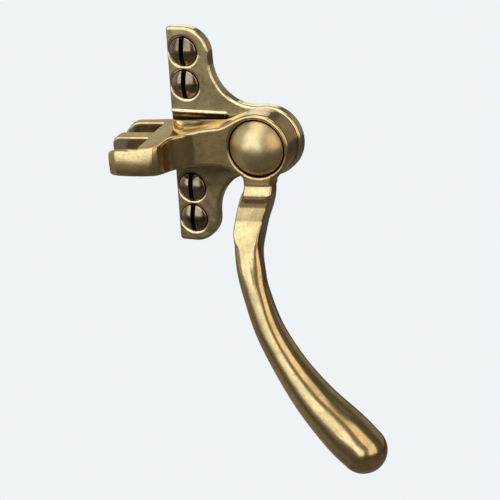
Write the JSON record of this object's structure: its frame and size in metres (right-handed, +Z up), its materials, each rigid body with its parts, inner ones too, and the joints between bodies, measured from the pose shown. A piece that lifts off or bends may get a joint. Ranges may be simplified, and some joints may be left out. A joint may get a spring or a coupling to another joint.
{
  "type": "cockspur window handle",
  "caption": "Cockspur casement handle: a screwed backplate, a curved bulb-end grip and a slotted nose that turns onto a keep on the window frame.",
  "frame": {"origin": "on the back face of the plate, on the line of the four screws, at mid height", "axes": "+Z up, +X from the screw line towards the pivot, +Y into the window; the front of the handle faces -Y"},
  "size_m": [0.0825, 0.0391, 0.1261],
  "materials": {
    "plate_brass": "antique satin",
    "cast_brass": "antique satin casting",
    "polished_brass": "worn polish",
    "screw_bronze": "dark bronzed",
    "pin_brass": "turned",
    "spring_steel": "plain"
  },
  "bodies": {
    "backplate_assembly": {"backplate": "plate_brass", "upper_outer_screw": "screw_bronze", "upper_inner_screw": "screw_bronze", "lower_inner_screw": "screw_bronze", "lower_outer_screw": "screw_bronze", "pivot_pin": "pin_brass", "rear_washer": "pin_brass", "thrust_washer": "pin_brass", "spring_washer": "spring_steel"},
    "turning_handle": {"handle": "cast_brass", "dome_cap": "polished_brass"}
  },
  "joints": [
    {"name": "handle_turn", "type": "hinge", "parent": "backplate_assembly", "child": "turning_handle", "pos_m": [0.0242, 0, 0], "axis": [0, -1, 0], "range_deg": [-12, 92]}
  ]
}
